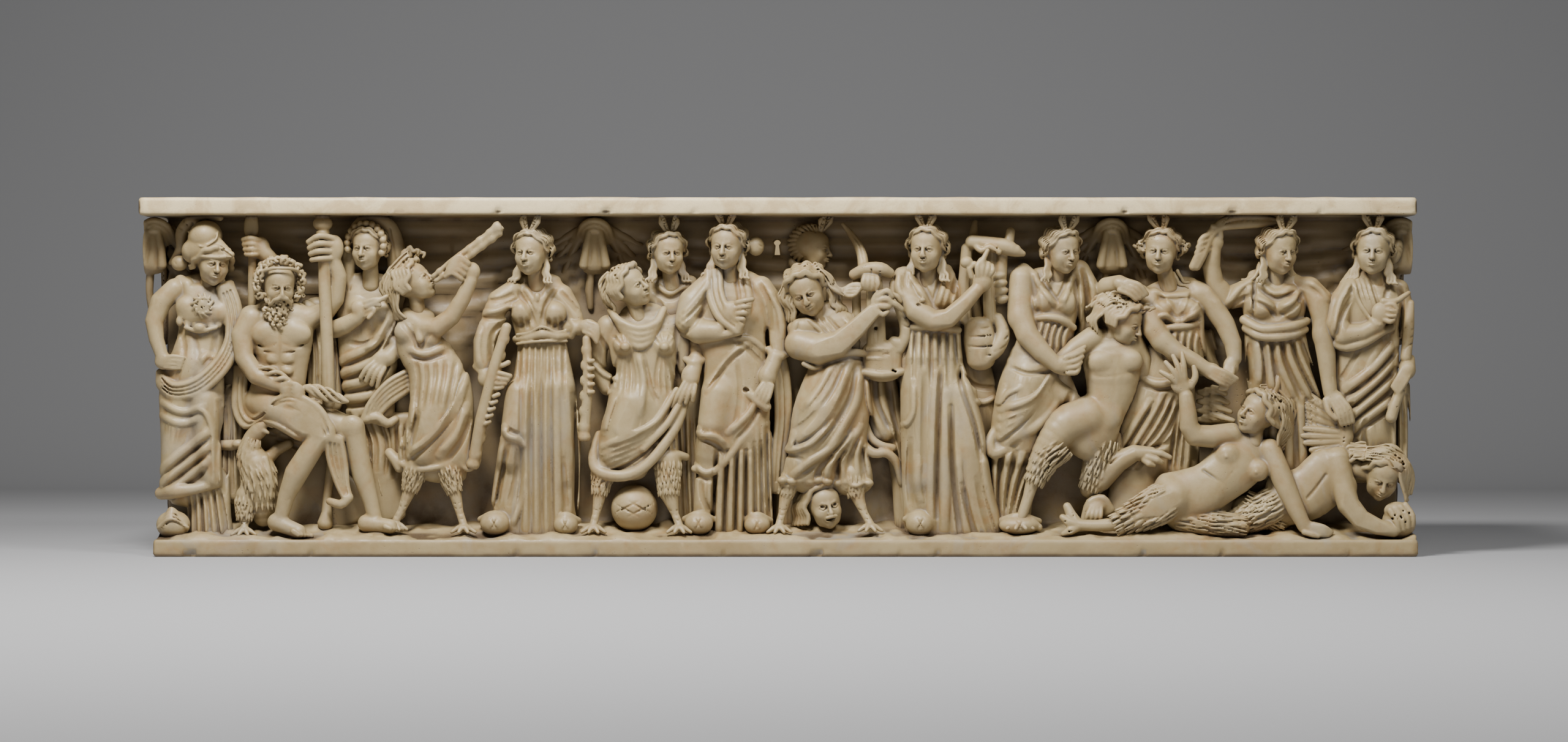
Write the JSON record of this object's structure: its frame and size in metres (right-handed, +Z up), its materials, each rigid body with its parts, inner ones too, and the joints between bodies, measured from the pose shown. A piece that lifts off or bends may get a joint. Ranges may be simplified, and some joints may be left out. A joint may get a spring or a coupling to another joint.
{
  "type": "marble sarcophagus chest",
  "caption": "Open marble trough with a deeply carved figured front, overhanging rim, foot ledge and plain sides and back; stands on its flat underside.",
  "frame": {"origin": "middle of the underside, where the chest stands on the floor", "axes": "+Z up, +X along the carved front, which faces -Y"},
  "size_m": [1.968, 0.572, 0.552],
  "materials": {
    "marble": "worn polish with a warm patina, darker in the drilled hollows"
  },
  "bodies": {
    "root": {"sarcophagus_chest": "marble"}
  },
  "joints": []
}
